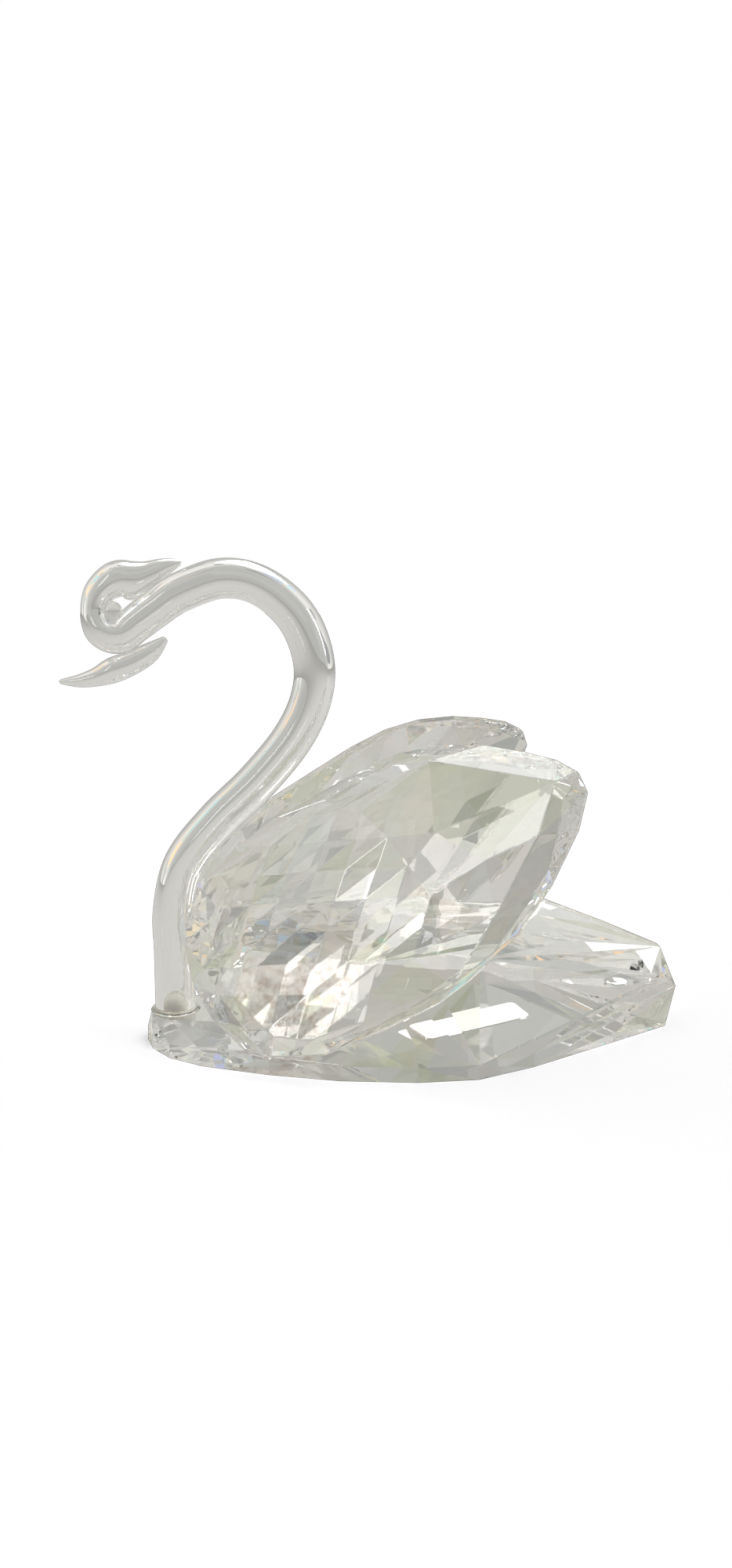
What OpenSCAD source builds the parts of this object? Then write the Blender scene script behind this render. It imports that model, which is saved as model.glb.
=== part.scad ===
// Crystal swan figurine: a cut hull crystal, two cut wing crystals, a drawn neck and
// head rod, a fused beak, the clear bonds between them and a blank label underneath.
// The head points to -X, the swan's left is -Y, and the flat underside lies at z = 0.

/* [Hull crystal] */
// Length of the underside, front to tail
hull_length = 180; // [150:1:210]
// Width of the underside across its widest point
hull_width = 94; // [80:1:110]
// Height of the polished wall round the underside
wall_height = 4.8; // [3.5:0.1:6]
// Height of the flat deck that carries the neck
deck_height = 9.4; // [8:0.2:11]
// Height of the roof ridge above the table
ridge_height = 48; // [40:1:54]
// Height where the tail ridge breaks down into the end facets
tail_height = 28; // [22:1:32]

/* [Wings] */
// Length of a wing along its own horizontal
wing_length = 125; // [105:1:145]
// Height of a wing in its own plane
wing_height = 101; // [85:1:116]
// Height of the faceted dome above the girdle
dome_height = 15; // [10:0.5:16]
// Thickness of the girdle band round the edge
girdle = 2.5; // [1.5:0.25:4]
// Depth of the bevelled back below the girdle
back_depth = 5.5; // [4:0.5:7]
// Half length of one diamond facet
facet_size = 8; // [7:0.5:11]
// Angle by which a wing opens outward toward the tail
wing_spread = 21; // [17:1:23]
// Angle by which a wing leans in at the top
wing_lean = 18.5; // [15:0.5:21]

/* [Neck, head and beak] */
// Diameter of the neck rod
rod_d = 13.4; // [11:0.2:15]
// Height of the top of the neck's arch above the table
neck_height = 160; // [140:1:180]

/* [Bonds and label] */
// Thickness of the clear bond films
bond = 0.4; // [0.2:0.05:0.6]
// Length of the blank label
label_length = 36; // [20:1:40]
// Width of the blank label
label_width = 14; // [10:1:18]

/* [Hidden] */
$fn = 64;

rod_r = rod_d / 2;
neck_x = -68.8;
hull_front = -78;
weld_gap = 0.15;
foot_flare = 1.6;
foot_gap = 0.4;
label_t = 0.2;
label_at = [26, 2];
label_turn = 28;
label_gap = 0.3;
corner_r = 2;

crystal = [0.80, 0.82, 0.81];
rod_glass = [0.74, 0.76, 0.76];
bond_tint = [0.78, 0.75, 0.68];
label_tint = [0.90, 0.85, 0.83];

// ---- Shared functions -------------------------------------------------------------

// Catmull-Rom point at t between b and c
function spline(a, b, c, d, t) =
    0.5 * (2 * b + (c - a) * t + (2 * a - 5 * b + 4 * c - d) * t * t
           + (3 * b - 3 * c + d - a) * t * t * t);

// A smooth list through the rows of p, with steps points on each stretch
function smooth(p, steps) = let (n = len(p) - 1) [
    for (i = [0 : n - 1], s = [0 : steps - 1])
        spline(p[max(i - 1, 0)], p[i], p[i + 1], p[min(i + 2, n)], s / steps),
    p[n]
];

// Points of an outline turned into both halves about the X axis
function both_sides(p) = concat(p, [for (q = p) [q[0], -q[1], q[2]]]);

// Flat-faceted crystal that reaches every one of its corners
module cut_crystal(corners) hull() polyhedron(corners, [[for (i = [0 : len(corners) - 1]) i]]);

// Solid rod in the plane y = 0 through rows of [x, z, outer radius, inner radius]
module rod(rows, sides = 24) {
    n = len(rows);
    function along(i) =
        let (d = rows[min(i + 1, n - 1)] - rows[max(i - 1, 0)]) [d[0], d[1]] / norm([d[0], d[1]]);
    points = [for (i = [0 : n - 1], k = [0 : sides - 1])
        let (t = along(i), a = 360 * k / sides, wide = rows[i][2],
             r = cos(a) < 0 ? wide : rows[i][3])
        [rows[i][0] + t[1] * r * cos(a), wide * sin(a), rows[i][1] - t[0] * r * cos(a)]];
    skin = [for (i = [0 : n - 2], k = [0 : sides - 1])
        let (a = i * sides + k, b = i * sides + (k + 1) % sides)
        each [[a, a + sides, b], [b, a + sides, b + sides]]];
    polyhedron(points, concat(skin, [[for (k = [0 : sides - 1]) k]],
        [[for (k = [sides - 1 : -1 : 0]) (n - 1) * sides + k]]));
}

// ---- Wings ------------------------------------------------------------------------

// Outline of the left wing in its own plane, as fractions of length and height
wing_plan = [[0.27, 0], [0.19, 0.02], [0.10, 0.10], [0.035, 0.21], [0.005, 0.32],
    [0.005, 0.42], [0.05, 0.53], [0.12, 0.64], [0.215, 0.738], [0.32, 0.82], [0.43, 0.905],
    [0.53, 0.965], [0.63, 0.995], [0.74, 1], [0.84, 0.985], [0.92, 0.965], [0.975, 0.932], [1, 0.875],
    [0.985, 0.76], [0.93, 0.59], [0.86, 0.44], [0.75, 0.29], [0.68, 0.215], [0.57, 0.13],
    [0.43, 0.045]];
// The foot stands over the hull's edge, in proportion to its length and width
wing_foot = [hull_front + 0.2278 * hull_length, -0.915 * hull_width / 2, 8];
wing_rim = [for (p = wing_plan) [(p[0] - 0.27) * wing_length, p[1] * wing_height]];
wing_mid = [0.24 * wing_length, 0.50 * wing_height];
seat_depth = girdle + back_depth + bond;

// Place of a point of the wing's own plane, w above it, in the figurine's frame
function wing_point(u, v, w) = wing_foot
    + u * [cos(wing_spread), -sin(wing_spread), 0]
    + v * [sin(wing_lean) * sin(wing_spread), sin(wing_lean) * cos(wing_spread), cos(wing_lean)]
    + w * [-cos(wing_lean) * sin(wing_spread), -cos(wing_lean) * cos(wing_spread), sin(wing_lean)];

// The long axis of the leaf runs from the front foot to the tip
leaf_angle = 42;
leaf_half = [76, 46];
function from_leaf(q) = wing_mid
    + [q[0] * leaf_half[0] * cos(leaf_angle) - q[1] * leaf_half[1] * sin(leaf_angle),
       q[0] * leaf_half[0] * sin(leaf_angle) + q[1] * leaf_half[1] * cos(leaf_angle)];

// Height of the dome over a point given as fractions of the leaf's half sizes
function dome(q) = dome_height * (1 - 0.88 * (q[0] * q[0] + q[1] * q[1]));

// Diamond lattice over the breast of the leaf, its corners on the dome
facet_u = facet_size / leaf_half[0];
facet_v = facet_size * 0.7 / leaf_half[1];
function on_breast(q) = norm([q[0] + 0.04, q[1]]) < 0.80 && q[0] < 0.30 - 0.25 * abs(q[1])
    && q[1] > 0.8 * q[0] - 0.50;
lattice = [for (i = [-12 : 6], j = [-9 : 9])
    let (q = [i * facet_u, j * facet_v]) if ((i + j) % 2 == 0 && on_breast(q)) q];
// Corners of the long facets that run together at the tip, of the rear ridge and the flank
tip_corners = [[0.86, -0.12], [0.37, 0.07], [0.18, 0.50], [0.52, 0.50]];
rear_ridge = [[0.46, -0.27], [0.14, -0.50], [-0.15, -0.66]];
flank = [[0.68, -0.34], [0.36, -0.58], [0.06, -0.76]];
dome_points = [for (q = concat(lattice, tip_corners, rear_ridge, flank))
    let (p = from_leaf(q)) [p[0], p[1], dome(q)]];

// Corners of the flat back, set in from the rim and turned by half a step
back_inset = 0.86;
back_rim = [for (i = [0 : 2 : len(wing_rim) - 1])
    let (m = (wing_rim[i] + wing_rim[(i + 1) % len(wing_rim)]) / 2)
    wing_mid + (m - wing_mid) * back_inset];

// A point of the wing's plane as fractions of its length and height
function wing_part(p) = [p[0] * wing_length, p[1] * wing_height];

module wing_place() translate(wing_foot) rotate([90 - wing_lean, 0, -wing_spread]) children();

module wing() color(crystal) wing_place() cut_crystal(concat(
    [for (p = wing_rim) [p[0], p[1], 0]],
    [for (p = wing_rim) [p[0], p[1], -girdle]],
    dome_points,
    [for (p = back_rim) [p[0], p[1], -girdle - back_depth]]));

module left_wing() wing();
module right_wing() mirror([0, 1, 0]) wing();

// ---- Hull crystal -----------------------------------------------------------------

// A point of the left half, as fractions of the length and of half the width, at height z
function hull_point(p, z) = [hull_front + p[0] * hull_length, -p[1] * hull_width / 2, z];

hull_plan = [[0, 0.06], [0.012, 0.24], [0.045, 0.43], [0.106, 0.60], [0.224, 0.79],
    [0.346, 0.93], [0.48, 1], [0.587, 0.98], [0.693, 0.79], [0.894, 0.30], [0.985, 0.08]];
hull_half = [for (p = hull_plan) hull_point(p, 0)];
wall_edge = [for (p = hull_plan) hull_point(p, wall_height)];
deck_edge = [for (p = [[0.008, 0.106], [0.044, 0.223], [0.128, 0.277]]) hull_point(p, deck_height)];

// Each seat facet lies under the flat back of a wing: corners in the wing's own plane
seat_plan = [[-0.136, 0.040], [-0.088, 0.327], [0.208, 0.327], [0.176, 0.025]];
seat = [for (f = seat_plan) let (p = wing_part(f)) wing_point(p[0], p[1], -seat_depth)];
// Lens facet above the wall, then the shoulder, roof and end corners from front to tail,
// their heights as fractions of the ridge or of the tail
lens = [hull_point([0.478, 0.968], 10.5), hull_point([0.589, 0.904], 10)];
shoulder = [hull_point([0.600, 0.638], 0.708 * ridge_height),
    hull_point([0.714, 0.330], 0.667 * ridge_height),
    hull_point([0.815, 0.298], 0.914 * tail_height),
    hull_point([0.939, 0.220], 0.650 * tail_height)];
// The wall is taller beside the tail
tail_wall = [hull_point([0.842, 0.435], 2 * wall_height),
    hull_point([0.948, 0.178], 2 * wall_height)];
roof = [hull_point([0.511, 0.213], 0.958 * ridge_height),
    hull_point([0.724, 0.170], 0.875 * ridge_height),
    hull_point([0.839, 0.181], 1.114 * tail_height)];
ridge = [hull_point([0.233, 0.064], 0.896 * ridge_height),
    hull_point([0.511, 0.021], ridge_height),
    hull_point([0.750, 0.021], 0.938 * ridge_height),
    hull_point([0.972, 0.043], tail_height),
    hull_point([1.002, 0.085], 0.518 * tail_height)];

module hull_crystal() color(crystal) difference() {
    union() {
        cut_crystal(both_sides(concat(hull_half, wall_edge, deck_edge)));
        cut_crystal(both_sides(concat(behind(hull_half), behind(wall_edge),
                                      seat, lens, shoulder, tail_wall, roof, ridge)));
    }
    label_place() translate([0, 0, -1]) rounded_plate(label_t + 1, label_gap);
    wing_notch();
    mirror([0, 1, 0]) wing_notch();
}

// Ground notch for a wing: flat under its back, with a ledge just below its foot
module wing_notch() wing_place() translate([-wing_length, -foot_gap, -seat_depth])
    cube([2 * wing_length, wing_height, hull_width]);

// The points of an outline behind the deck
function behind(points) = [for (p = points) if (p[0] > hull_front + 0.15 * hull_length) p];

// ---- Neck, head and beak ----------------------------------------------------------

// The neck stretches with its height, and the arch and head ride up with it unchanged
function lifted(rows) = [for (r = rows)
    let (share = min(max((r[1] - 30) / 70, 0), 1))
    [r[0], r[1] + share * (neck_height - 160), r[2], r[3] == undef ? r[2] : r[3]]];

// Centre line of the drawn rod from the foot up and over the arch: [x, z, radius]. It tapers
// to the head's own radius before the fold, the bead and the beak
neck_line = [[neck_x, deck_height + bond, rod_r], [neck_x, 30, rod_r], [neck_x, 44, rod_r],
    [-64.8, 60, rod_r], [-53.7, 74.2, rod_r], [-40.5, 87, rod_r], [-28.5, 101.5, rod_r],
    [-22.2, 115, rod_r], [-21.5, 128, rod_r], [-27, 141.6, rod_r], [-38.3, 151.2, rod_r - 0.2],
    [-51, 153.6, rod_r - 0.2], [-64.8, 148.9, 6.4]];

// The rod's end is folded back over itself: [x, z, outer radius, inner radius]
head_fold = [[-72.2, 144, 6.2, 6.2], [-78.5, 139.5, 6.2, 5.8], [-84, 136.1, 6.4, 4.6],
    [-89, 137.9, 6, 4], [-91.2, 143, 4.6, 4.2], [-89.4, 149, 5.2, 4.2],
    [-84.3, 153.3, 5.8, 4.6], [-79, 154, 5.3, 4.9], [-74.3, 155.3, 3.9, 3.8],
    [-69, 157.4, 2.6, 2.5], [-63.6, 158.7, 0.9, 0.9]];
beak_line = [[-69.6, 133.8, 1.2], [-74, 130.1, 3.1], [-79.6, 126.8, 3.6], [-86, 124.3, 4.0],
    [-91.5, 122.2, 3], [-97, 121, 2], [-103, 120.8, 0.6]];

module neck_and_head_rod() color(rod_glass)
    rod(smooth(lifted(concat(neck_line, head_fold)), 4));

module beak() color(rod_glass) rod(smooth(lifted(beak_line), 4), 18);

// The bead lies in the notch between the fold's end and the arch, turned with it
bead_at = [-69.4, 154];
bead_half = [1.2, 1, 0.24];
bead_turn = -30;

module crest_weld_bead() color(rod_glass)
    translate([bead_at[0], 0, bead_at[1] + neck_height - 160]) rotate([0, bead_turn, 0])
        scale(bead_half) sphere(1, $fn = 24);

// ---- Bonds and label --------------------------------------------------------------

module neck_foot_bond() color(bond_tint) translate([neck_x, 0, deck_height]) rotate_extrude()
    polygon([[0, 0], [rod_r + foot_flare, 0], [rod_r + foot_flare - 0.1, 0.3], [rod_r + weld_gap, 1.4],
             [rod_r + weld_gap, bond - weld_gap], [0, bond - weld_gap]]);

// A film over the stretch where the wing's flat back lies on the hull's seat facet
module wing_bond() color(bond_tint) wing_place()
    translate([0, 0, -seat_depth + weld_gap / 2]) linear_extrude(bond - weld_gap)
        polygon([for (f = [[-0.072, 0.099], [0.104, 0.099], [0.176, 0.168], [0.200, 0.307],
                           [-0.080, 0.307], [-0.116, 0.178]]) wing_part(f)]);

module left_wing_bond() wing_bond();
module right_wing_bond() mirror([0, 1, 0]) wing_bond();

module rounded_plate(h, grow = 0) linear_extrude(h)
    offset(r = corner_r + grow) square([label_length, label_width] - 2 * [corner_r, corner_r],
                                       center = true);

module label_place() translate(label_at) rotate(label_turn) children();

module underside_label() color(label_tint) label_place() rounded_plate(label_t);

hull_crystal();
left_wing();
right_wing();
neck_and_head_rod();
beak();
crest_weld_bead();
neck_foot_bond();
left_wing_bond();
right_wing_bond();
underside_label();
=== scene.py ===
import math

import bmesh
import bpy
import numpy as np
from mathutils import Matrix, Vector


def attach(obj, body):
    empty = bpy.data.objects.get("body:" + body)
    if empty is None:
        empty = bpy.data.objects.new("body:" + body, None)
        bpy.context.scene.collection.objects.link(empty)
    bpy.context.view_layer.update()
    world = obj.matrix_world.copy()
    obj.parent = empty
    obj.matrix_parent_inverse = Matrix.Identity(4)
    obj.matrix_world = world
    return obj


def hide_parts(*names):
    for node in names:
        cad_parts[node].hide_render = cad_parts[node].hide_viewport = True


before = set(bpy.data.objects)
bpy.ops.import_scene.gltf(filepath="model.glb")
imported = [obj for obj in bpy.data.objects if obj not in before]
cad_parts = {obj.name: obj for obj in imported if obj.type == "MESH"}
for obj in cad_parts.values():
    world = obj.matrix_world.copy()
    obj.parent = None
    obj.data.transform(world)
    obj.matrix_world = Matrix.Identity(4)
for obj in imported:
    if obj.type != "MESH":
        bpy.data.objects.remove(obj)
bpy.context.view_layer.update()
MM = 0.001

# ---- Hull crystal ------------------------------------------------------------------
# The hull is one block of clear lead crystal, sawn, ground flat facet by facet and
# polished. It stands on its flat underside and carries everything else.

crystal_ior = 1.545
facet_edge = 0.32 * MM
# Facets smaller than full_tone_area, in square millimetres, carry painted reflection and painted
# shade tints. Larger ones are drawn toward clear_tone, which paints almost nothing.
full_tone_area = 900
clear_tone = 0.62


def nodes_of(material):
    """Empties a material's node tree and returns (tree, output node)."""
    material.use_nodes = True
    tree = material.node_tree
    tree.nodes.clear()
    return tree, tree.nodes.new("ShaderNodeOutputMaterial")


def ramp(tree, source, stops):
    """A colour ramp fed by a socket; stops are (position, colour) pairs."""
    node = tree.nodes.new("ShaderNodeValToRGB")
    while len(node.color_ramp.elements) < len(stops):
        node.color_ramp.elements.new(0.5)
    for element, (place, colour) in zip(node.color_ramp.elements, stops):
        element.position = place
        element.color = (*colour, 1)
    tree.links.new(source, node.inputs["Fac"])
    return node.outputs["Color"]


def noise(tree, coords, scale, detail=3.0):
    """Noise over object coordinates; returns its value socket."""
    node = tree.nodes.new("ShaderNodeTexNoise")
    node.inputs["Scale"].default_value = scale
    node.inputs["Detail"].default_value = detail
    tree.links.new(coords, node.inputs["Vector"])
    return node.outputs["Fac"]


def glass(name, tints, ior, ripple):
    """Clear glass: slow tint drift, faint polishing haze and a trace of surface ripple. Returns
    the material and the socket that its tint leaves by."""
    material = bpy.data.materials.new(name)
    tree, out = nodes_of(material)
    shader = tree.nodes.new("ShaderNodeBsdfPrincipled")
    coords = tree.nodes.new("ShaderNodeTexCoord").outputs["Object"]
    shader.inputs["Transmission Weight"].default_value = 1.0
    shader.inputs["IOR"].default_value = ior
    drift = ramp(tree, noise(tree, coords, 22.0), tints)
    tree.links.new(drift, shader.inputs["Base Color"])
    haze = ramp(tree, noise(tree, coords, 260.0, 6.0),
                [(0.45, (0.0, 0.0, 0.0)), (0.85, (0.035, 0.035, 0.035))])
    tree.links.new(haze, shader.inputs["Roughness"])
    bump = tree.nodes.new("ShaderNodeBump")
    bump.inputs["Strength"].default_value = ripple
    bump.inputs["Distance"].default_value = 0.1 * MM
    tree.links.new(noise(tree, coords, 90.0, 2.0), bump.inputs["Height"])
    tree.links.new(bump.outputs["Normal"], shader.inputs["Normal"])
    tree.links.new(shader.outputs["BSDF"], out.inputs["Surface"])
    return material, drift, shader.inputs["Base Color"]


cut_crystal, drift, tint = glass(
    "cut_crystal", [(0.3, (0.99, 0.975, 0.97)), (0.5, (0.98, 0.985, 0.98)),
                    (0.7, (0.975, 0.98, 0.955))], crystal_ior, 0.03)
tree = cut_crystal.node_tree
# Each facet's tint below is painted reflection and painted shade. Its near-white, grey, pinkish,
# yellow-green and near-black tones stand in for what the clear crystal refracts and reflects. The
# tint multiplies the glass's own tint drift.
facet = tree.nodes.new("ShaderNodeAttribute")
facet.attribute_name = "facet_painted_reflection"
painted_reflection_tints = ramp(tree, facet.outputs["Fac"], [
    (0.0, (0.10, 0.11, 0.14)), (0.07, (0.50, 0.52, 0.53)), (0.26, (0.96, 0.96, 0.96)),
    (0.46, (0.80, 0.77, 0.75)), (0.62, (0.98, 0.98, 0.97)), (0.74, (0.70, 0.73, 0.58)),
    (0.86, (0.98, 0.99, 1.0)), (1.0, (1.0, 0.90, 0.88))])
drift_and_painted_reflections = tree.nodes.new("ShaderNodeMix")
drift_and_painted_reflections.data_type = "RGBA"
drift_and_painted_reflections.blend_type = "MULTIPLY"
drift_and_painted_reflections.inputs[0].default_value = 1
tree.links.new(drift, drift_and_painted_reflections.inputs[6])
tree.links.new(painted_reflection_tints, drift_and_painted_reflections.inputs[7])
tree.links.new(drift_and_painted_reflections.outputs[2], tint)


def stand(name, mesh):
    """Puts a finished mesh into the scene, on the figurine's one body."""
    piece = bpy.data.objects.new(name, mesh)
    bpy.context.collection.objects.link(piece)
    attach(piece, "root")
    return piece


def paint_facet_reflections(mesh, widest):
    """Gives each facet its own number from 0 to 1, from its centre (x, y, z) in millimetres:
    the fraction of 43.7 * sin(1.7 x + 2.9 y + 4.3 z). The number picks the facet's tint of painted
    reflection and painted shade. It is drawn toward the clear tone as the facet's area grows, and
    reaches it at the widest area, in square millimetres."""
    count = len(mesh.polygons)
    centre = np.empty(count * 3)
    mesh.polygons.foreach_get("center", centre)
    area = np.empty(count)
    mesh.polygons.foreach_get("area", area)
    value = 43.7 * np.sin(centre.reshape(-1, 3) / MM @ np.array([1.7, 2.9, 4.3]))
    value -= np.floor(value)
    calm = np.clip(area / (widest * MM * MM), 0, 1)
    value = value * (1 - calm) + clear_tone * calm
    tone = mesh.attributes.new("facet_painted_reflection", "FLOAT", "FACE")
    tone.data.foreach_set("value", value.astype(np.float32))


def cut_piece(node_name, name):
    """A cut crystal: the CAD facets merged into whole planes, their edges eased."""
    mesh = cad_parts[node_name].data.copy()
    cell = bmesh.new()
    cell.from_mesh(mesh)
    bmesh.ops.remove_doubles(cell, verts=cell.verts, dist=0.005 * MM)
    bmesh.ops.dissolve_limit(cell, angle_limit=math.radians(0.35), verts=cell.verts,
                             edges=cell.edges)
    cell.to_mesh(mesh)
    cell.free()
    mesh.materials.clear()
    mesh.materials.append(cut_crystal)
    mesh.polygons.foreach_set("use_smooth", np.zeros(len(mesh.polygons), bool))
    piece = stand(name, mesh)
    ease = piece.modifiers.new("eased_edges", "BEVEL")
    ease.width = facet_edge
    ease.segments = 2
    ease.limit_method = "ANGLE"
    ease.angle_limit = math.radians(1.2)
    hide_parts(node_name)
    return piece


def star_cut(mesh, start, smallest, largest, share):
    """Cuts a shallow star into each facet whose centre lies behind x = start and whose area in
    square millimetres lies between the two given: a point rises over its middle by
    share * sqrt(area). Facets that face down stay flat."""
    cell = bmesh.new()
    cell.from_mesh(mesh)
    for face in list(cell.faces):
        area = face.calc_area()
        if (face.calc_center_median().x > start and face.normal.z > -0.5
                and smallest * MM * MM < area < largest * MM * MM):
            bmesh.ops.poke(cell, faces=[face], offset=share * math.sqrt(area))
    cell.to_mesh(mesh)
    cell.free()


hull = cut_piece("hull_crystal", "hull_cut")
star_cut(hull.data, start=14 * MM, smallest=60, largest=800, share=0.05)
paint_facet_reflections(hull.data, full_tone_area)

# ---- Wings -------------------------------------------------------------------------
# Each wing is a leaf of the same crystal with a domed, diamond-cut breast, long facets
# that run together at the tip, a ground girdle and a flat polished back.

wing_foot = np.array([-37.0, -43.0, 8.0]) * MM
wing_spread, wing_lean = math.radians(21), math.radians(18.5)
wing_axes = np.array([
    [math.cos(wing_spread), -math.sin(wing_spread), 0],
    [math.sin(wing_lean) * math.sin(wing_spread), math.sin(wing_lean) * math.cos(wing_spread),
     math.cos(wing_lean)],
    [-math.cos(wing_lean) * math.sin(wing_spread), -math.cos(wing_lean) * math.cos(wing_spread),
     math.sin(wing_lean)]])
leaf_mid = np.array([30.0, 50.5]) * MM
leaf_angle = math.radians(42)
facet_pitch = np.array([8.0, 5.6]) * MM
facet_relief = 0.5 * MM


def hand_cut(mesh, side):
    """Tilts the breast facets one by one, as hand grinding leaves them. A corner of the diamond
    lattice at steps (i, j) rises by relief * sin(9.1 i + 5.3 j) * cos(4.7 i - 7.9 j) along the
    wing's normal. Corners outside the breast, on the girdle and on the back stay put."""
    points = np.empty(len(mesh.vertices) * 3)
    mesh.vertices.foreach_get("co", points)
    points = points.reshape(-1, 3)
    flip = np.array([1, side, 1])
    plane = (points * flip - wing_foot) @ wing_axes.T
    along = plane[:, :2] - leaf_mid
    turned = np.stack([along[:, 0] * math.cos(leaf_angle) + along[:, 1] * math.sin(leaf_angle),
                       along[:, 1] * math.cos(leaf_angle) - along[:, 0] * math.sin(leaf_angle)], 1)
    step = turned / facet_pitch
    whole = np.round(step)
    on_lattice = (np.abs(step - whole).max(1) < 0.02) & (plane[:, 2] > 1 * MM)
    rise = (np.sin(9.1 * whole[:, 0] + 5.3 * whole[:, 1])
            * np.cos(4.7 * whole[:, 0] - 7.9 * whole[:, 1]))
    lift = np.where(on_lattice, facet_relief * rise, 0)
    points += lift[:, None] * wing_axes[2] * flip
    mesh.vertices.foreach_set("co", points.ravel())
    cell = bmesh.new()
    cell.from_mesh(mesh)
    bmesh.ops.triangulate(cell, faces=cell.faces, quad_method="SHORT_EDGE")
    cell.to_mesh(mesh)
    cell.free()


left_wing = cut_piece("left_wing", "left_wing_cut")
paint_facet_reflections(left_wing.data, full_tone_area)
hand_cut(left_wing.data, 1)
right_wing = cut_piece("right_wing", "right_wing_cut")
paint_facet_reflections(right_wing.data, full_tone_area)
hand_cut(right_wing.data, -1)

# ---- Neck and head -----------------------------------------------------------------
# One cane of drawn glass, bent hot into the neck's double curve. Its end is folded back
# over itself for the head, and the fold is closed by a small pool and a bead of glass.

# Rows of the centre line: x, z, outer radius, inner radius in millimetres
neck_rows = [
    (-68.8, 9.8, 6.7, 6.7), (-68.8, 30, 6.7, 6.7), (-68.8, 44, 6.7, 6.7),
    (-64.8, 60, 6.7, 6.7), (-53.7, 74.2, 6.7, 6.7), (-40.5, 87, 6.7, 6.7),
    (-28.5, 101.5, 6.7, 6.7), (-22.2, 115, 6.7, 6.7), (-21.5, 128, 6.7, 6.7),
    (-27, 141.6, 6.7, 6.7), (-38.3, 151.2, 6.5, 6.5), (-51, 153.6, 6.5, 6.5),
    (-64.8, 148.9, 6.4, 6.4), (-72.2, 144, 6.2, 6.2), (-78.5, 139.5, 6.2, 5.8),
    (-84, 136.1, 6.4, 4.6), (-89, 137.9, 6, 4), (-91.2, 143, 4.6, 4.2),
    (-89.4, 149, 5.2, 4.4), (-84.3, 153.3, 5.8, 6.0), (-79, 154, 5.3, 7.2),
    (-74.3, 155.3, 3.9, 5.4), (-69, 157.4, 2.6, 3.4), (-64.2, 158.6, 1.1, 1.1),
    (-63.2, 158.9, 0.4, 0.4)]

drawn_glass, _, _ = glass(
    "drawn_glass", [(0.3, (0.972, 0.978, 0.978)), (0.5, (0.975, 0.98, 0.975)),
                    (0.7, (0.978, 0.978, 0.962))], 1.5, 0.05)


def smooth_rows(rows, steps):
    """Catmull-Rom curve through the rows, with the same number of steps on every stretch."""
    rows = np.array(rows, float)
    ends = np.vstack([rows[:1], rows, rows[-1:]])
    t = (np.arange(steps) / steps)[None, :, None]
    p0, p1, p2, p3 = (ends[k:len(ends) - 3 + k][:, None, :] for k in range(4))
    curve = 0.5 * (2 * p1 + (p2 - p0) * t + (2 * p0 - 5 * p1 + 4 * p2 - p3) * t ** 2
                   + (3 * p1 - 3 * p2 + p3 - p0) * t ** 3)
    return np.vstack([curve.reshape(-1, rows.shape[1]), rows[-1:]])


def drawn_rod(name, rows, steps, sides, material):
    """A rod carried along a curve in the plane y = 0. At angle a round the section the point is
    centre + normal * r(a) cos a + Y * outer * sin a, where r(a) runs smoothly from the inner
    radius at a = 0 to the outer radius at a = 180 degrees. Both ends close on a pole."""
    path = smooth_rows(rows, steps) * MM
    run = np.gradient(path[:, :2], axis=0)
    run /= np.linalg.norm(run, axis=1)[:, None]
    a = np.arange(sides) * 2 * math.pi / sides
    mix = (1 + np.cos(a)) / 2
    r = path[:, 2:3] * (1 - mix) + path[:, 3:4] * mix
    x = path[:, 0:1] + run[:, 1:2] * r * np.cos(a)
    y = path[:, 2:3] * np.sin(a)
    z = path[:, 1:2] - run[:, 0:1] * r * np.cos(a)
    rings = np.stack([x, y, z], 2).reshape(-1, 3)
    poles = np.array([[path[0, 0], 0, path[0, 1]], [path[-1, 0], 0, path[-1, 1]]])
    n = len(path)
    i, k = np.meshgrid(np.arange(n - 1), np.arange(sides), indexing="ij")
    after = (k + 1) % sides
    skin = np.stack([i * sides + k, (i + 1) * sides + k, (i + 1) * sides + after,
                     i * sides + after], 2).reshape(-1, 4)
    k = np.arange(sides)
    after = (k + 1) % sides
    first = np.stack([np.full(sides, n * sides), k, after], 1)
    last = np.stack([np.full(sides, n * sides + 1), (n - 1) * sides + after,
                     (n - 1) * sides + k], 1)
    mesh = bpy.data.meshes.new(name)
    mesh.from_pydata(np.vstack([rings, poles]).tolist(), [],
                     skin.tolist() + first.tolist() + last.tolist())
    mesh.update()
    mesh.polygons.foreach_set("use_smooth", np.ones(len(mesh.polygons), bool))
    mesh.set_sharp_from_angle(angle=math.radians(50))
    mesh.materials.append(material)
    return stand(name, mesh)


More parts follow.
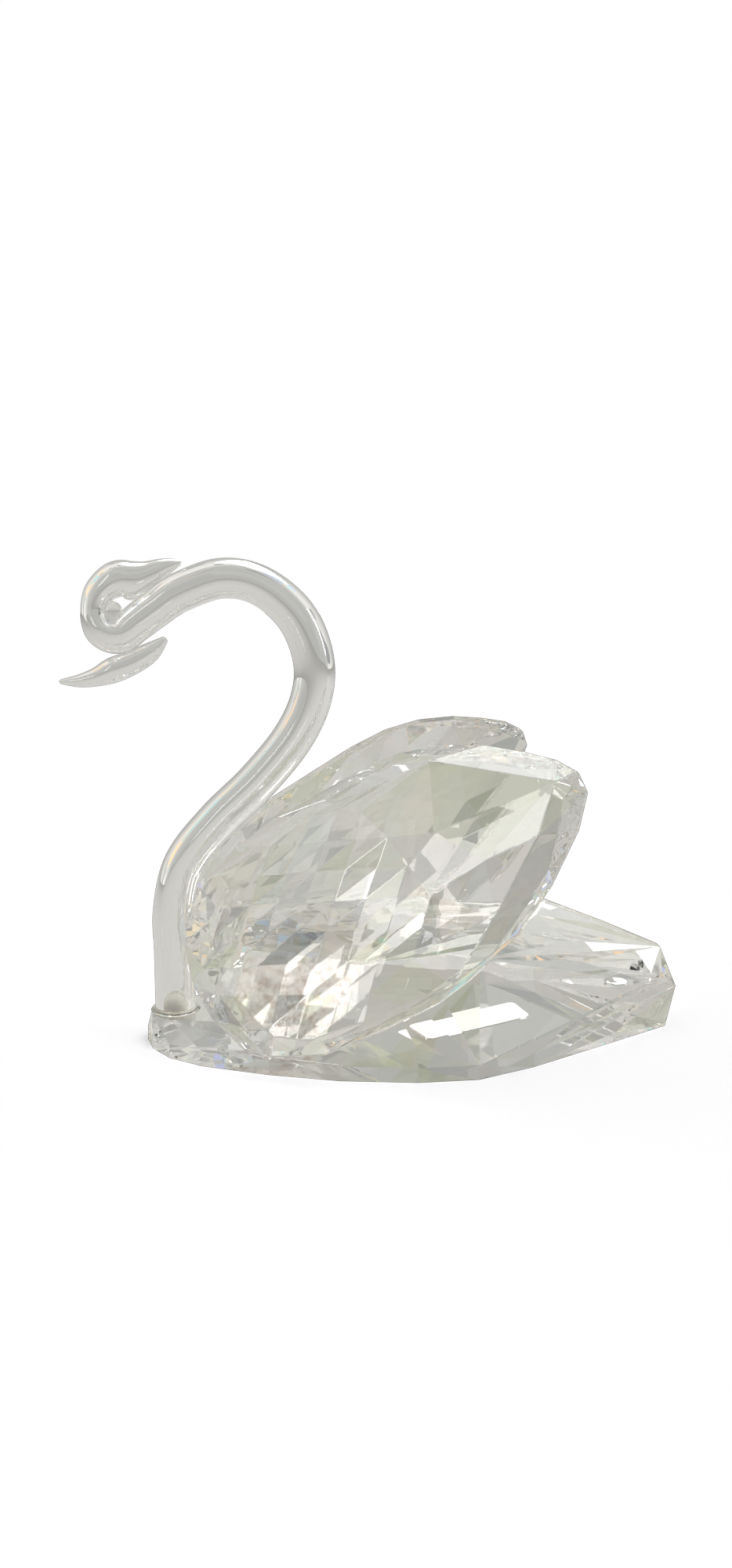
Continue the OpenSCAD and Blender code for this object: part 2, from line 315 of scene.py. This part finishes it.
def pebble(name, centre, half, turn, material, rounds=20, sides=40):
    """A rounded pebble of glass: an ellipsoid with the half sizes given, turned about Y."""
    u = np.linspace(0, math.pi, rounds + 1)[1:-1]
    v = np.arange(sides) * 2 * math.pi / sides
    x = half[0] * np.sin(u)[:, None] * np.cos(v)
    z = half[2] * np.sin(u)[:, None] * np.sin(v)
    y = np.repeat(half[1] * np.cos(u)[:, None], sides, 1)
    grid = np.vstack([np.stack([x, y, z], 2).reshape(-1, 3), [[0, half[1], 0], [0, -half[1], 0]]])
    c, s = math.cos(turn), math.sin(turn)
    grid = (grid @ np.array([[c, 0, -s], [0, 1, 0], [s, 0, c]]) + centre) * MM
    n = rounds - 1
    i, k = np.meshgrid(np.arange(n - 1), np.arange(sides), indexing="ij")
    after = (k + 1) % sides
    skin = np.stack([i * sides + k, i * sides + after, (i + 1) * sides + after,
                     (i + 1) * sides + k], 2).reshape(-1, 4)
    k = np.arange(sides)
    after = (k + 1) % sides
    top = np.stack([np.full(sides, n * sides), after, k], 1)
    bottom = np.stack([np.full(sides, n * sides + 1), (n - 1) * sides + k,
                       (n - 1) * sides + after], 1)
    mesh = bpy.data.meshes.new(name)
    mesh.from_pydata(grid.tolist(), [], skin.tolist() + top.tolist() + bottom.tolist())
    cell = bmesh.new()
    cell.from_mesh(mesh)
    bmesh.ops.recalc_face_normals(cell, faces=cell.faces)
    cell.to_mesh(mesh)
    cell.free()
    mesh.polygons.foreach_set("use_smooth", np.ones(len(mesh.polygons), bool))
    mesh.materials.append(material)
    return stand(name, mesh)


neck = drawn_rod("neck_and_head", neck_rows, 8, 56, drawn_glass)
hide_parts("neck_and_head_rod")
eye_pool = pebble("eye_pool", (-86.0, 0, 143.2), (3.6, 3.0, 3.4), 0.3, drawn_glass)
crest_bead = pebble("crest_bead", (-69.4, 0, 154), (1.2, 1.0, 0.3), math.radians(30),
                    drawn_glass, 12, 24)
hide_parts("crest_weld_bead")

# ---- Beak --------------------------------------------------------------------------
# A second gather of the same glass, fused under the head and pulled out to a point while hot.

beak_rows = [(-68.9, 134.4, 0.5, 0.5), (-69.6, 133.8, 1.3, 1.3), (-74, 130.1, 3.2, 3.2),
             (-79.6, 126.9, 3.8, 3.8), (-86, 124.4, 4.1, 4.1), (-91.5, 122.2, 3, 3),
             (-97, 121, 2, 2), (-102.4, 120.8, 0.8, 0.8), (-102.9, 120.8, 0.3, 0.3)]
beak = drawn_rod("beak_gather", beak_rows, 8, 48, drawn_glass)
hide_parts("beak")

# ---- Bonds -------------------------------------------------------------------------
# Clear adhesive, gone slightly brown and full of fine dust: a collar round the neck's foot
# and a film between each wing's flat back and the hull.


def adhesive(name, stops, opacity):
    """Aged clear adhesive: brown drift, dusty specks and a dull, uneven gloss."""
    material = bpy.data.materials.new(name)
    tree, out = nodes_of(material)
    shader = tree.nodes.new("ShaderNodeBsdfPrincipled")
    coords = tree.nodes.new("ShaderNodeTexCoord").outputs["Object"]
    shader.inputs["IOR"].default_value = 1.5
    shader.inputs["Transmission Weight"].default_value = 1 - opacity
    tree.links.new(ramp(tree, noise(tree, coords, 420.0, 8.0), stops),
                   shader.inputs["Base Color"])
    dull = ramp(tree, noise(tree, coords, 700.0, 4.0),
                [(0.4, (0.02, 0.02, 0.02)), (0.7, (0.22, 0.22, 0.22))])
    tree.links.new(dull, shader.inputs["Roughness"])
    bump = tree.nodes.new("ShaderNodeBump")
    bump.inputs["Strength"].default_value = 0.3
    bump.inputs["Distance"].default_value = 0.1 * MM
    tree.links.new(noise(tree, coords, 900.0, 4.0), bump.inputs["Height"])
    tree.links.new(bump.outputs["Normal"], shader.inputs["Normal"])
    tree.links.new(shader.outputs["BSDF"], out.inputs["Surface"])
    return material


collar_glue = adhesive("collar_glue", [(0.35, (0.90, 0.87, 0.80)), (0.6, (0.95, 0.94, 0.91)),
                                       (0.75, (0.80, 0.73, 0.64))], 0.0)
film_glue = adhesive("film_glue", [(0.36, (0.74, 0.64, 0.58)), (0.47, (0.94, 0.90, 0.87)),
                                   (0.66, (0.99, 0.98, 0.97))], 0.03)
for name in ("left_wing_bond", "right_wing_bond"):
    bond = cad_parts[name]
    for place in range(len(bond.material_slots)):
        bond.material_slots[place].link = "OBJECT"
        bond.material_slots[place].material = film_glue


def turned_ring(name, profile, centre, sides, waver, material):
    """A closed profile of (radius, height) turned about a vertical axis. The radius at angle a
    grows by waver * (sin 3a + 0.6 sin(7a + 1)) / 2, most at the outside."""
    profile = np.array(profile) * MM
    a = np.arange(sides) * 2 * math.pi / sides
    share = (profile[:, :1] - profile[:, 0].min()) / np.ptp(profile[:, 0])
    radius = profile[:, :1] + share * waver * MM * (np.sin(3 * a) + 0.6 * np.sin(7 * a + 1)) / 2
    points = np.stack([centre[0] * MM + radius * np.cos(a), centre[1] * MM + radius * np.sin(a),
                       np.repeat(profile[:, 1:], sides, 1)], 2).reshape(-1, 3)
    n = len(profile)
    i, k = np.meshgrid(np.arange(n), np.arange(sides), indexing="ij")
    ahead, after = (i + 1) % n, (k + 1) % sides
    skin = np.stack([i * sides + k, i * sides + after, ahead * sides + after,
                     ahead * sides + k], 2).reshape(-1, 4)
    mesh = bpy.data.meshes.new(name)
    mesh.from_pydata(points.tolist(), [], skin.tolist())
    cell = bmesh.new()
    cell.from_mesh(mesh)
    bmesh.ops.recalc_face_normals(cell, faces=cell.faces)
    cell.to_mesh(mesh)
    cell.free()
    mesh.polygons.foreach_set("use_smooth", np.ones(len(mesh.polygons), bool))
    mesh.set_sharp_from_angle(angle=math.radians(35))
    mesh.materials.append(material)
    return stand(name, mesh)


collar = turned_ring("glue_collar", [(0.02, 9.46), (8.15, 9.46), (8.25, 9.6), (7.6, 9.8),
                                     (7.15, 10.15), (6.92, 10.7), (6.78, 10.8), (6.78, 9.74),
                                     (0.02, 9.74)],
                     (-68.8, 0), 96, 0.12, collar_glue)
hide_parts("neck_foot_bond")

# ---- Label -------------------------------------------------------------------------
# A blank self-adhesive paper label in a shallow rebate under the hull. Its face touches the
# crystal and is seen through it.

paper = bpy.data.materials.new("label_paper")
tree, out = nodes_of(paper)
shader = tree.nodes.new("ShaderNodeBsdfPrincipled")
coords = tree.nodes.new("ShaderNodeTexCoord").outputs["Object"]
shader.inputs["Roughness"].default_value = 0.75
fibres = ramp(tree, noise(tree, coords, 1500.0, 8.0),
              [(0.3, (0.90, 0.84, 0.82)), (0.45, (0.99, 0.96, 0.95)), (0.6, (1.0, 0.99, 0.985))])
tree.links.new(fibres, shader.inputs["Base Color"])
bump = tree.nodes.new("ShaderNodeBump")
bump.inputs["Strength"].default_value = 0.4
bump.inputs["Distance"].default_value = 0.05 * MM
tree.links.new(noise(tree, coords, 2500.0, 4.0), bump.inputs["Height"])
tree.links.new(bump.outputs["Normal"], shader.inputs["Normal"])
tree.links.new(shader.outputs["BSDF"], out.inputs["Surface"])


def blank_label(name, middle, turn, size, corner, low, high):
    """A thin plate in the shape of a rectangle with round corners, turned about Z. Each corner
    is a quarter circle of the corner radius about the rectangle's shrunken corner, and the edge
    is worn by 0.08 mm * sin(11 a) * sin(3 a) round the outline."""
    a = (np.arange(4)[:, None] * 90 + np.linspace(0, 90, 13)[None, :]) * math.pi / 180
    sign = np.array([[1, 1], [-1, 1], [-1, -1], [1, -1]])[:, None, :]
    inner = np.array(size) / 2 - corner
    wear = 0.08 * np.sin(11 * a) * np.sin(3 * a)
    ring = sign * inner + (corner + wear)[..., None] * np.stack([np.cos(a), np.sin(a)], 2)
    ring = ring.reshape(-1, 2)
    c, s = math.cos(turn), math.sin(turn)
    flat = (ring @ np.array([[c, s], [-s, c]]) + middle) * MM
    n = len(flat)
    points = np.vstack([np.c_[flat, np.full(n, low * MM)], np.c_[flat, np.full(n, high * MM)]])
    k = np.arange(n)
    after = (k + 1) % n
    sides = np.stack([k, after, after + n, k + n], 1).tolist()
    mesh = bpy.data.meshes.new(name)
    mesh.from_pydata(points.tolist(), [], sides + [k[::-1].tolist(), (k + n).tolist()])
    mesh.materials.append(paper)
    return stand(name, mesh)


label = blank_label("paper_label", middle=(26, 2), turn=math.radians(28), size=(36, 14),
                    corner=2, low=0.02, high=0.26)
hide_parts("underside_label")

# ---- Stage, light and camera -------------------------------------------------------
# A plain pale table in a soft, grey room with two windows and a narrow strip of light. The
# clear pieces cast no shadow, and the high window lights the table but isn't seen through glass.

floor_mesh = bpy.data.meshes.new("floor")
reach = 2.5
floor_mesh.from_pydata([(-reach, -reach, 0), (reach, -reach, 0), (reach, reach, 0),
                        (-reach, reach, 0)], [], [(0, 1, 2, 3)])
floor = bpy.data.objects.new("floor", floor_mesh)
bpy.context.collection.objects.link(floor)
floor.location.z = -0.0002
pale = bpy.data.materials.new("pale_table")
tree, out = nodes_of(pale)
matte = tree.nodes.new("ShaderNodeBsdfDiffuse")
matte.inputs["Color"].default_value = (0.50, 0.496, 0.482, 1)
tree.links.new(matte.outputs["BSDF"], out.inputs["Surface"])
floor_mesh.materials.append(pale)
floor.is_shadow_catcher = True

world = bpy.data.worlds.new("room")
bpy.context.scene.world = world
world.use_nodes = True
tree = world.node_tree
tree.nodes.clear()
room_out = tree.nodes.new("ShaderNodeOutputWorld")
seen = tree.nodes.new("ShaderNodeBackground")
around = tree.nodes.new("ShaderNodeBackground")
which = tree.nodes.new("ShaderNodeMixShader")
path = tree.nodes.new("ShaderNodeLightPath")
direction = tree.nodes.new("ShaderNodeTexCoord").outputs["Generated"]
split = tree.nodes.new("ShaderNodeSeparateXYZ")
tree.links.new(direction, split.inputs["Vector"])
depth = tree.nodes.new("ShaderNodeMapRange")
depth.inputs["From Min"].default_value = -1
tree.links.new(split.outputs["Y"], depth.inputs["Value"])
walls = ramp(tree, depth.outputs["Result"], [
    (0.0, (0.76, 0.758, 0.74)), (0.35, (0.81, 0.803, 0.785)), (0.55, (0.86, 0.85, 0.835)),
    (0.68, (0.74, 0.732, 0.71)), (0.84, (0.53, 0.527, 0.508)), (1.0, (0.47, 0.47, 0.452))])
patchy = ramp(tree, depth.outputs["Result"], [
    (0.0, (1, 1, 1)), (0.7, (1, 1, 1)), (0.85, (0.5, 0.5, 0.5))])
cells = tree.nodes.new("ShaderNodeTexVoronoi")
cells.inputs["Scale"].default_value = 4.5
cells.feature = "SMOOTH_F1"
cells.inputs["Smoothness"].default_value = 0.35
tree.links.new(direction, cells.inputs["Vector"])
tone = tree.nodes.new("ShaderNodeSeparateColor")
tree.links.new(cells.outputs["Color"], tone.inputs["Color"])
patches = ramp(tree, tone.outputs["Red"], [
    (0.0, (0.40, 0.41, 0.42)), (0.14, (0.86, 0.87, 0.86)), (0.34, (1.0, 1.0, 0.98)),
    (0.52, (1.02, 1.0, 0.99)), (0.66, (0.98, 0.98, 0.90)), (0.80, (1.07, 1.03, 1.01)),
    (0.92, (1.16, 1.16, 1.16))])
hues = ramp(tree, tone.outputs["Green"], [
    (0.0, (1, 1, 1)), (0.90, (1, 1, 1)), (0.93, (1.5, 1.0, 0.6)), (0.96, (0.7, 1.15, 1.1)),
    (0.99, (0.8, 0.85, 1.6))])
lit = walls
hued = ramp(tree, depth.outputs["Result"], [(0.66, (1, 1, 1)), (0.8, (0, 0, 0))])
for layer, share in ((patches, patchy), (hues, hued)):
    room = tree.nodes.new("ShaderNodeMix")
    room.data_type = "RGBA"
    room.blend_type = "MULTIPLY"
    tree.links.new(share, room.inputs[0])
    tree.links.new(lit, room.inputs[6])
    tree.links.new(layer, room.inputs[7])
    lit = room.outputs[2]
tree.links.new(lit, around.inputs["Color"])
around.inputs["Strength"].default_value = 1.0
seen.inputs["Color"].default_value = (1, 1, 1, 1)
seen.inputs["Strength"].default_value = 1.0
tree.links.new(path.outputs["Is Camera Ray"], which.inputs["Fac"])
tree.links.new(around.outputs["Background"], which.inputs[1])
tree.links.new(seen.outputs["Background"], which.inputs[2])
tree.links.new(which.outputs["Shader"], room_out.inputs["Surface"])


def soft_light(name, place, target, size, power, colour):
    """A rectangular soft light that faces a point."""
    lamp = bpy.data.lights.new(name, "AREA")
    lamp.shape = "RECTANGLE"
    lamp.size, lamp.size_y = size
    lamp.energy = power
    lamp.color = colour
    light = bpy.data.objects.new(name, lamp)
    bpy.context.collection.objects.link(light)
    light.location = place
    light.rotation_euler = (Vector(target) - Vector(place)).to_track_quat("-Z", "Y").to_euler()
    light.visible_camera = False
    return light


soft_light("window_left", (-0.72, -0.86, 0.58), (0, 0, 0.07), (0.13, 0.5), 1.4, (1, 0.98, 0.96))
high = soft_light("window_high", (0.25, 0.3, 1.2), (0, 0, 0.05), (0.8, 0.7), 9, (1, 1, 1))
high.visible_transmission = False
for clear in (hull, left_wing, right_wing, neck, eye_pool, beak):
    clear.visible_shadow = False
soft_light("strip_right", (0.9, -0.25, 0.45), (0, 0, 0.08), (0.06, 0.5), 1, (0.97, 0.98, 1))

eye = Vector((-39.27, -446.70, 167.87)) * MM
turn, drop = math.radians(-4.484), math.radians(10.365)
back = Vector((math.sin(turn) * math.cos(drop), -math.cos(turn) * math.cos(drop), math.sin(drop)))
lens = bpy.data.cameras.new("camera")
lens.sensor_width = 36
lens.lens = 31.5
camera = bpy.data.objects.new("camera", lens)
bpy.context.collection.objects.link(camera)
camera.location = eye
camera.rotation_euler = (-back).to_track_quat("-Z", "Y").to_euler()
lens.clip_start = 0.01
bpy.context.scene.camera = camera

scene = bpy.context.scene
scene.view_settings.view_transform = "Standard"
scene.cycles.max_bounces = 24
scene.cycles.transmission_bounces = 24
scene.cycles.glossy_bounces = 16
